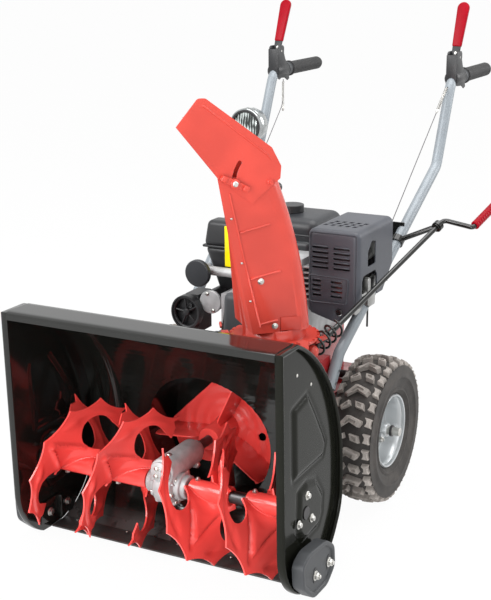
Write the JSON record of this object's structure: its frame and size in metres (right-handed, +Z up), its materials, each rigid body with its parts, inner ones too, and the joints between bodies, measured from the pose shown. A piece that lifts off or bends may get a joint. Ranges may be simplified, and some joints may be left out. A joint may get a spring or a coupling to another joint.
{
  "type": "two-stage snow blower",
  "caption": "Walk-behind two-stage snow blower: black auger housing, red serrated augers and turning chute, engine, wheels and raised handles.",
  "frame": {"origin": "on the ground under the middle of the whole machine's bounding box, which is 43.2 mm to the right of the machine's centre plane because the crank stands out on that side", "axes": "+Z up, +Y from the auger opening (front) to the grips (rear), +X to the right seen from the front"},
  "size_m": [0.773, 1.3648, 1.0654],
  "materials": {
    "black_paint": "glossy powder coat",
    "red_paint": "glossy powder coat",
    "silver_paint": "satin silver paint",
    "black_plastic": "grained moulding",
    "dark_plastic": "satin moulding",
    "red_plastic": "smooth moulding",
    "black_rubber": "soft grip",
    "belt_rubber": "fabric-backed belt",
    "cable_black": "sheathed cable",
    "tyre_rubber": "moulded tread",
    "zinc_steel": "zinc plated",
    "dark_steel": "oiled steel",
    "cast_alloy": "sand cast",
    "lamp_chrome": "plated",
    "lamp_glass": "ribbed lens"
  },
  "bodies": {
    "machine": {"auger_housing": "black_paint", "side_plate_left": "black_paint", "side_plate_right": "black_paint", "scraper_bar": "black_paint", "skid_shoe_left": "black_plastic", "skid_shoe_right": "black_plastic", "housing_fasteners": "zinc_steel", "auger_bearings": "black_plastic", "fan_housing": "black_paint", "chute_base_ring": "red_paint", "gearbox_case": "cast_alloy", "frame_box": "red_paint", "belt_cover": "dark_plastic", "handle_left": "silver_paint", "handle_right": "silver_paint", "cross_bar": "black_paint", "grips": "black_rubber", "lever_brackets": "black_plastic", "control_cables": "cable_black", "headlamp_shell": "lamp_chrome", "headlamp_lens": "lamp_glass", "crank_bracket": "black_paint", "engine_block": "cast_alloy", "fuel_tank": "dark_plastic", "muffler": "zinc_steel", "muffler_guard": "dark_plastic", "recoil_cover": "dark_plastic", "carburettor_cover": "dark_plastic", "starter_motor": "black_paint", "switch_box": "black_plastic", "drive_belts": "belt_rubber"},
    "auger": {"auger_shaft": "dark_steel", "flight_left_outer": "red_paint", "flight_left_inner": "red_paint", "flight_right_inner": "red_paint", "flight_right_outer": "red_paint", "shear_bolts": "zinc_steel"},
    "impeller_body": {"impeller_shaft": "dark_steel", "impeller": "red_paint", "impeller_pulley": "dark_steel"},
    "crankshaft": {"engine_pulley": "dark_steel"},
    "wheels": {"axle": "dark_steel", "tyre_left": "tyre_rubber", "tyre_right": "tyre_rubber", "rim_left": "silver_paint", "rim_right": "silver_paint"},
    "disc": {"friction_disc": "dark_steel"},
    "hex": {"friction_wheel": "dark_steel"},
    "chute_body": {"chute": "red_paint"},
    "hood": {"deflector": "red_paint"},
    "wing_knob": {"deflector_knob": "red_plastic"},
    "crank": {"crank_rod": "black_paint"},
    "crank_handle": {"crank_grip": "red_plastic"},
    "lever_left": {"clutch_lever_left": "red_plastic"},
    "lever_right": {"clutch_lever_right": "red_plastic"},
    "filler_cap": {"fuel_cap": "black_plastic"},
    "oil_filler_cap": {"oil_cap": "black_plastic"},
    "pull_handle": {"recoil_handle": "black_plastic"},
    "button": {"start_button": "black_plastic"},
    "gear_lever": {"shift_lever": "black_plastic"}
  },
  "joints": [
    {"name": "impeller_spin", "type": "hinge", "parent": "machine", "child": "impeller_body", "pos_m": [-0.0432, -0.3156, 0.197], "axis": [0, 1, 0], "continuous": true},
    {"name": "auger_spin", "type": "hinge", "parent": "machine", "child": "auger", "pos_m": [-0.0432, -0.5376, 0.16], "axis": [1, 0, 0], "continuous": true},
    {"name": "crankshaft_spin", "type": "hinge", "parent": "machine", "child": "crankshaft", "pos_m": [-0.0432, -0.2156, 0.456], "axis": [0, 1, 0], "continuous": true},
    {"name": "disc_spin", "type": "hinge", "parent": "machine", "child": "disc", "pos_m": [-0.0432, -0.1556, 0.265], "axis": [0, 1, 0], "continuous": true},
    {"name": "hex_spin", "type": "hinge", "parent": "machine", "child": "hex", "pos_m": [-0.0432, -0.0453, 0.265], "axis": [1, 0, 0], "continuous": true},
    {"name": "wheel_spin", "type": "hinge", "parent": "machine", "child": "wheels", "pos_m": [-0.0432, -0.0846, 0.165], "axis": [1, 0, 0], "continuous": true},
    {"name": "chute_turn", "type": "hinge", "parent": "machine", "child": "chute_body", "pos_m": [0.0818, -0.3196, 0.43], "axis": [0, 0, 1], "range_deg": [-45, 135]},
    {"name": "deflector_tilt", "type": "hinge", "parent": "chute_body", "child": "hood", "pos_m": [0.06059, -0.34081, 0.762], "axis": [0.7071, -0.7071, 0], "range_deg": [0, 30]},
    {"name": "wing_knob_turn", "type": "hinge", "parent": "chute_body", "child": "wing_knob", "pos_m": [0.00897, -0.39243, 0.764], "axis": [0.7071, -0.7071, 0], "range_deg": [-90, 90]},
    {"name": "crank_turn", "type": "hinge", "parent": "machine", "child": "crank", "pos_m": [0.2748, 0.1194, 0.59], "axis": [0.2288, 0.8937, 0.3861], "range_deg": [-1100, 400]},
    {"name": "crank_handle_spin", "type": "hinge", "parent": "crank", "child": "crank_handle", "pos_m": [0.3545, 0.12578, 0.59276], "axis": [0.2288, 0.8937, 0.3861], "continuous": true},
    {"name": "lever_left_press", "type": "hinge", "parent": "machine", "child": "lever_left", "pos_m": [-0.2832, 0.4294, 0.938], "axis": [-1, 0, 0], "range_deg": [0, 68], "stiffness_Nm_per_rad": 0.4, "springref_deg": -17.19},
    {"name": "lever_right_press", "type": "hinge", "parent": "machine", "child": "lever_right", "pos_m": [0.1968, 0.4294, 0.938], "axis": [-1, 0, 0], "range_deg": [0, 68], "stiffness_Nm_per_rad": 0.4, "springref_deg": -17.19},
    {"name": "fuel_cap_turn", "type": "hinge", "parent": "machine", "child": "filler_cap", "pos_m": [-0.0432, 0.0244, 0.62], "axis": [0, 0, 1], "range_deg": [0, 90]},
    {"name": "oil_cap_turn", "type": "hinge", "parent": "machine", "child": "oil_filler_cap", "pos_m": [-0.1882, -0.1606, 0.493], "axis": [0, 1, 0], "range_deg": [0, 90]},
    {"name": "recoil_pull", "type": "slide", "parent": "machine", "child": "pull_handle", "axis": [0, 1, 0], "range_m": [0, 0.3], "stiffness_N_per_m": 20, "springref_m": -0.02},
    {"name": "start_press", "type": "slide", "parent": "machine", "child": "button", "axis": [0, 1, 0], "range_m": [0, 0.003], "stiffness_N_per_m": 500, "springref_m": -0.002},
    {"name": "gear_select", "type": "hinge", "parent": "machine", "child": "gear_lever", "pos_m": [-0.1432, 0.1464, 0.56], "axis": [0, 1, 0], "range_deg": [-35, 35]}
  ],
  "couplings": [
    {"joint": "auger_spin", "follows": "impeller_spin", "ratio": 0.1},
    {"joint": "crankshaft_spin", "follows": "impeller_spin", "ratio": 2.2941},
    {"joint": "disc_spin", "follows": "impeller_spin", "ratio": 1.5},
    {"joint": "hex_spin", "follows": "wheel_spin", "ratio": 4},
    {"joint": "crank_turn", "follows": "chute_turn", "ratio": -8}
  ]
}
